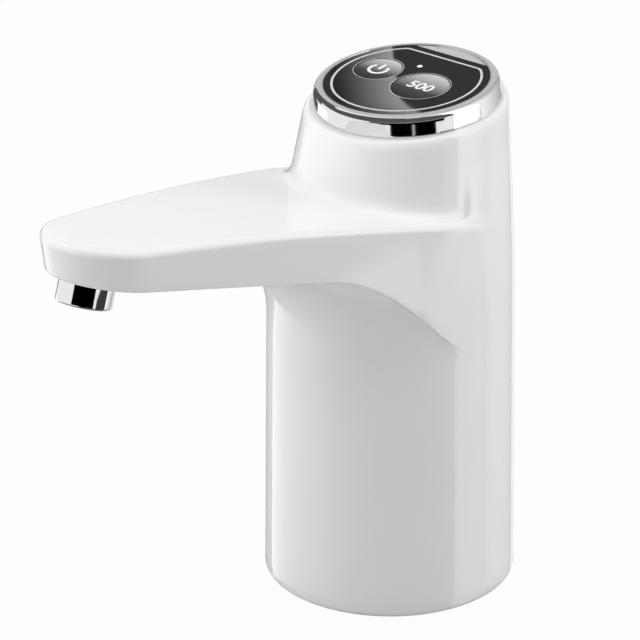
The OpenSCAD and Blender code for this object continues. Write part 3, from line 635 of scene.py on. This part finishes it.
# a plain number on the dose button
label = dict(body="500", size=5.6, heavier=0.09, low=4.82, thick=0.1)
startFresh()
bpy.ops.object.text_add()
labelPiece = bpy.context.object
labelPiece.data.body = label["body"]
labelPiece.data.size = label["size"] * mm
labelPiece.data.extrude = label["thick"] / 2 * mm
labelPiece.data.offset = label["heavier"] * mm
labelPiece.data.align_x = "CENTER"
labelPiece.data.align_y = "CENTER"
bpy.ops.object.convert(target="MESH")
labelPiece = bpy.context.object
cleanMesh(labelPiece)
placeMesh(labelPiece, seatPlace @ Matrix.Translation(
    Vector((*buttons["dose"]["at"], label["low"] + label["thick"] / 2)) * mm))
seatPiece(labelPiece, "dose_mark", "dose_button", "white_parts", printWhite)

# silver line inside the panel's edge
inlay = dict(r=21.3, chord=16.65, corner=3.4, width=0.68, low=5.0, thick=0.03, steps=96)
cornerMid = inlay["chord"] - inlay["corner"]
cornerSide = math.sqrt((inlay["r"] - inlay["corner"]) ** 2 - cornerMid ** 2)
cornerTurn = math.atan2(cornerMid, cornerSide)
inlayLoop = []
for k in range(inlay["steps"] + 1):
    angle = math.pi - cornerTurn + (math.pi + 2 * cornerTurn) * k / inlay["steps"]
    inlayLoop.append((inlay["r"] * math.cos(angle), inlay["r"] * math.sin(angle)))
for side, first in ((1, cornerTurn), (-1, math.pi / 2)):
    for k in range(1, 10):
        angle = first + (math.pi / 2 - cornerTurn) * k / (10 if side < 0 else 9)
        inlayLoop.append((side * cornerSide + inlay["corner"] * math.cos(angle),
                          cornerMid + inlay["corner"] * math.sin(angle)))
inlayPiece = lineFrom(inlayLoop, inlay["width"], inlay["low"], inlay["thick"])
placeMesh(inlayPiece, seatPlace)
seatPiece(inlayPiece, "panel_line", "housing", "satin_metal", silverPrintAndHighlight)
print("panel dressed")


# plain finishes for the CAD nodes, by slot
slotFinish = {"white_plastic": whiteGloss, "chrome": chromePlate, "black_gloss": blackGloss,
              "satin_metal": satinMetal, "lens": lensWhite}
nodeSlot = {part["node"]: part["material_slot"] for part in frame["record"]["subparts"]}
slotColour = {m["slot"]: m["base_color"] for m in frame["record"]["materials"]}
for name, obj in nodes.items():
    slot = nodeSlot[name]
    if slot not in slotFinish:
        slotFinish[slot] = finish(slot, tuple(slotColour[slot][:3]), drift=0.06, rough=(0.4, 0.5), scale=120)
    obj.data.materials.clear()
    obj.data.materials.append(slotFinish[slot])


# floor, backdrop and lamps
studio = dict(floorSize=6.0, floorZ=-0.0002, floorColour=0.6, floorRough=0.9, whiteShare=0.96,
              worldLight=0.55, lampAim=0.09, cardAim=0.12, cardGrid=(24, 12))


# camera, glossy and transmission rays see white
def seenRays(tree, share=1.0):
    path = tree.nodes.new("ShaderNodeLightPath")
    first = tree.nodes.new("ShaderNodeMath")
    first.operation = "MAXIMUM"
    second = tree.nodes.new("ShaderNodeMath")
    second.operation = "MAXIMUM"
    scale = tree.nodes.new("ShaderNodeMath")
    scale.operation = "MULTIPLY"
    scale.inputs[1].default_value = share
    tree.links.new(path.outputs["Is Camera Ray"], first.inputs[0])
    tree.links.new(path.outputs["Is Glossy Ray"], first.inputs[1])
    tree.links.new(first.outputs[0], second.inputs[0])
    tree.links.new(path.outputs["Is Transmission Ray"], second.inputs[1])
    tree.links.new(second.outputs[0], scale.inputs[0])
    return scale.outputs[0]


def makeFloor():
    startFresh()
    bpy.ops.mesh.primitive_plane_add(size=studio["floorSize"], location=(0, 0, studio["floorZ"]))
    floor = bpy.context.object
    floor.name = "floor"
    mat = bpy.data.materials.new("floorPaper")
    mat.use_nodes = True
    tree = mat.node_tree
    shader = tree.nodes["Principled BSDF"]
    shader.inputs["Base Color"].default_value = (studio["floorColour"],) * 3 + (1,)
    shader.inputs["Roughness"].default_value = studio["floorRough"]
    glow = tree.nodes.new("ShaderNodeEmission")
    mix = tree.nodes.new("ShaderNodeMixShader")
    seen = seenRays(tree, studio["whiteShare"])
    tree.links.new(seen, mix.inputs["Fac"])
    tree.links.new(shader.outputs["BSDF"], mix.inputs[1])
    tree.links.new(glow.outputs["Emission"], mix.inputs[2])
    tree.links.new(mix.outputs["Shader"], tree.nodes["Material Output"].inputs["Surface"])
    floor.data.materials.append(mat)
    floor.visible_glossy = False


def makeWorld():
    world = bpy.context.scene.world or bpy.data.worlds.new("studio")
    bpy.context.scene.world = world
    world.use_nodes = True
    tree = world.node_tree
    tree.nodes.clear()
    soft = tree.nodes.new("ShaderNodeBackground")
    soft.inputs["Strength"].default_value = studio["worldLight"]
    white = tree.nodes.new("ShaderNodeBackground")
    mix = tree.nodes.new("ShaderNodeMixShader")
    out = tree.nodes.new("ShaderNodeOutputWorld")
    for back in (soft, white):
        back.inputs["Color"].default_value = (1, 1, 1, 1)
    tree.links.new(seenRays(tree), mix.inputs["Fac"])
    tree.links.new(soft.outputs["Background"], mix.inputs[1])
    tree.links.new(white.outputs["Background"], mix.inputs[2])
    tree.links.new(mix.outputs["Shader"], out.inputs["Surface"])


# softboxes: azimuth and elevation as for the camera, distance and size in metres
lamps = dict(
    leftBox=dict(azimuth=-62, elevation=15, distance=1.0, size=(0.5, 1.0), power=4.6),
    frontBox=dict(azimuth=-25, elevation=15, distance=1.0, size=(0.5, 1.0), power=1.4),
    rightBox=dict(azimuth=144, elevation=15, distance=1.0, size=(0.5, 1.0), power=4.8),
    topBox=dict(azimuth=20, elevation=78, distance=1.0, size=(0.9, 0.9), power=5.1))


def makeLamp(name, spec):
    back = towards(spec["azimuth"], spec["elevation"])
    startFresh()
    aim = Vector((0, 0, studio["lampAim"]))
    bpy.ops.object.light_add(type="AREA", location=aim + back * spec["distance"])
    lamp = bpy.context.object
    lamp.name = name
    lamp.rotation_euler = back.to_track_quat("Z", "Y").to_euler()
    lamp.data.shape = "RECTANGLE"
    lamp.data.size, lamp.data.size_y = spec["size"]
    lamp.data.energy = spec["power"]
    lamp.visible_glossy = False


# cards that only reflections see: azimuth and elevation spans, distance in metres, glow at either side
cards = dict(
    frontDark=dict(azimuth=(-6, 84), elevation=(-9, 12), distance=1.5, glow=(0.0, 0.0)),
    ringDark=dict(azimuth=(20, 74), elevation=(-19.5, -9), distance=1.5, glow=(0.0, 0.0)),
    ringLine=dict(azimuth=(46, 49), elevation=(-19.5, -9), distance=1.4, glow=(0.4, 0.4)),
    lowFade=dict(azimuth=(-70, 30), elevation=(-34, -19.5), distance=1.5, glow=(1.0, 0.05)),
    lowDark=dict(azimuth=(30, 84), elevation=(-34, -19.5), distance=1.5, glow=(0.05, 0.05)),
    aboveDark=dict(azimuth=(-82, 96), elevation=(14, 84), distance=1.5, glow=(0.1, 0.1)),
    shoulderDark=dict(azimuth=(-112, -82), elevation=(-6, 44), distance=1.5, glow=(0.1, 0.1)),
    leftDark=dict(azimuth=(-150, -98), elevation=(-18, -6), distance=1.5, glow=(0.08, 0.08)),
    leftLow=dict(azimuth=(-150, -98), elevation=(-34, -18), distance=1.5, glow=(0.35, 0.35)),
    leftGlow=dict(azimuth=(-98, -70), elevation=(-34, -16), distance=1.5, glow=(1.7, 1.1)),
    panelDark=dict(azimuth=(-143, -129), elevation=(22, 36), distance=1.4, glow=(0.1, 0.1)),
    bandGlow=dict(azimuth=(-165, -112), elevation=(-6, 86), distance=1.6, glow=(0.62, 0.62)),
    rightGlow=dict(azimuth=(104, 195), elevation=(-34, 86), distance=1.5, glow=(1.5, 0.4)),
    wallDark=dict(azimuth=(84, 140), elevation=(-60, -17), distance=1.4, glow=(0.05, 0.05)),
    floorGrey=dict(azimuth=(-180, 180), elevation=(-89, -34), distance=1.7, glow=(0.25, 0.25)))
# upright sheets close by: ends in plan, foot and top heights at either end in mm, glow at either end
sheets = dict(
    highGlow=dict(ends=((135, 13), (205, 203)), foot=105, tops=(400, 400), glow=(3.2, 0.8)),
    lowGlow=dict(ends=((135, 13), (205, 203)), foot=-150, tops=(45, 105), glow=(1.5, 0.6)),
    seamDark=dict(ends=((135, -27), (135, 13)), foot=-150, tops=(105, 105), glow=(0.05, 0.05)))


def glowFinish(name, glow):
    mat = bpy.data.materials.new(name)
    mat.use_nodes = True
    tree = mat.node_tree
    tree.nodes.remove(tree.nodes["Principled BSDF"])
    light = tree.nodes.new("ShaderNodeEmission")
    light.inputs["Strength"].default_value = glow
    tree.links.new(light.outputs["Emission"], tree.nodes["Material Output"].inputs["Surface"])
    return mat


# glow that changes evenly across the card
def fadeGlow(mat, near, far):
    tree = mat.node_tree
    coords = tree.nodes.new("ShaderNodeTexCoord")
    split = tree.nodes.new("ShaderNodeSeparateXYZ")
    spread = tree.nodes.new("ShaderNodeMapRange")
    spread.inputs["To Min"].default_value = near
    spread.inputs["To Max"].default_value = far
    tree.links.new(coords.outputs["UV"], split.inputs["Vector"])
    tree.links.new(split.outputs["X"], spread.inputs["Value"])
    tree.links.new(spread.outputs["Result"], tree.nodes["Emission"].inputs["Strength"])


def lightCard(card, name, glow):
    mat = glowFinish(name, glow[0])
    if glow[0] != glow[1]:
        fadeGlow(mat, *glow)
    card.data.materials.append(mat)
    hideCard(card)


def hideCard(card):
    card.visible_camera = False
    card.visible_diffuse = False
    card.visible_shadow = False
    card.visible_transmission = False


def freshCard(name):
    startFresh()
    columns, lines = studio["cardGrid"]
    bpy.ops.mesh.primitive_grid_add(x_subdivisions=columns, y_subdivisions=lines, size=1)
    card = bpy.context.object
    card.name = name
    return card


def makeCard(name, spec):
    card = freshCard(name)
    left, right = spec["azimuth"]
    low, high = spec["elevation"]
    aim = Vector((0, 0, studio["cardAim"]))
    for vert in card.data.vertices:
        azimuth = left + (vert.co.x + 0.5) * (right - left)
        elevation = low + (vert.co.y + 0.5) * (high - low)
        vert.co = aim + towards(azimuth, elevation) * spec["distance"]
    lightCard(card, name, spec["glow"])


def makeSheet(name, spec):
    sheet = freshCard(name)
    near, far = (Vector(end) for end in spec["ends"])
    nearTop, farTop = spec["tops"]
    for vert in sheet.data.vertices:
        across = vert.co.x + 0.5
        plan = near.lerp(far, across)
        top = nearTop + (farTop - nearTop) * across
        z = spec["foot"] + (top - spec["foot"]) * (vert.co.y + 0.5)
        vert.co = Vector((plan.x, plan.y, z)) * mm
    lightCard(sheet, name, spec["glow"])


# a bright card mirrored in the panel, brightest along one edge: places in the panel's plane
wedge = dict(edge=((-20.5, 17.4), (-12.8, 9.2), (-4.0, 0.1), (6.9, -10.9), (12.4, -13.6), (20.8, -16.0)),
             side=(-12.0, -13.0), distance=0.6, glow=2.3, fall=1.6)


def makeWedge():
    w = wedge
    eye = bpy.context.scene.camera.matrix_world.translation
    normal = (seatPlace.to_3x3() @ Vector((0, 0, 1))).normalized()
    startFresh()
    bpy.ops.mesh.primitive_grid_add(x_subdivisions=1, y_subdivisions=len(w["edge"]) - 1, size=1)
    card = bpy.context.object
    card.name = "wedgeGlow"
    for i, vert in enumerate(card.data.vertices):
        across = 1 - i % 2
        x, y = (c + across * d for c, d in zip(w["edge"][i // 2], w["side"]))
        spot = seatPlace @ Vector((x * mm, y * mm, panelTop * mm))
        ray = (spot - eye).normalized()
        vert.co = spot + ray.reflect(normal) * w["distance"]
    mat = glowFinish("wedgeGlow", w["glow"])
    tree = mat.node_tree
    coords = tree.nodes.new("ShaderNodeTexCoord")
    split = tree.nodes.new("ShaderNodeSeparateXYZ")
    fall = tree.nodes.new("ShaderNodeMath")
    fall.operation = "POWER"
    fall.inputs[1].default_value = w["fall"]
    gain = tree.nodes.new("ShaderNodeMath")
    gain.operation = "MULTIPLY"
    gain.inputs[1].default_value = w["glow"]
    tree.links.new(coords.outputs["UV"], split.inputs["Vector"])
    tree.links.new(split.outputs["X"], fall.inputs[0])
    tree.links.new(fall.outputs[0], gain.inputs[0])
    tree.links.new(gain.outputs[0], tree.nodes["Emission"].inputs["Strength"])
    card.data.materials.append(mat)
    hideCard(card)


for cardName, cardSpec in cards.items():
    makeCard(cardName, cardSpec)
for sheetName, sheetSpec in sheets.items():
    makeSheet(sheetName, sheetSpec)
makeWedge()
makeFloor()
makeWorld()
for lampName, lampSpec in lamps.items():
    makeLamp(lampName, lampSpec)
print("studio lit")
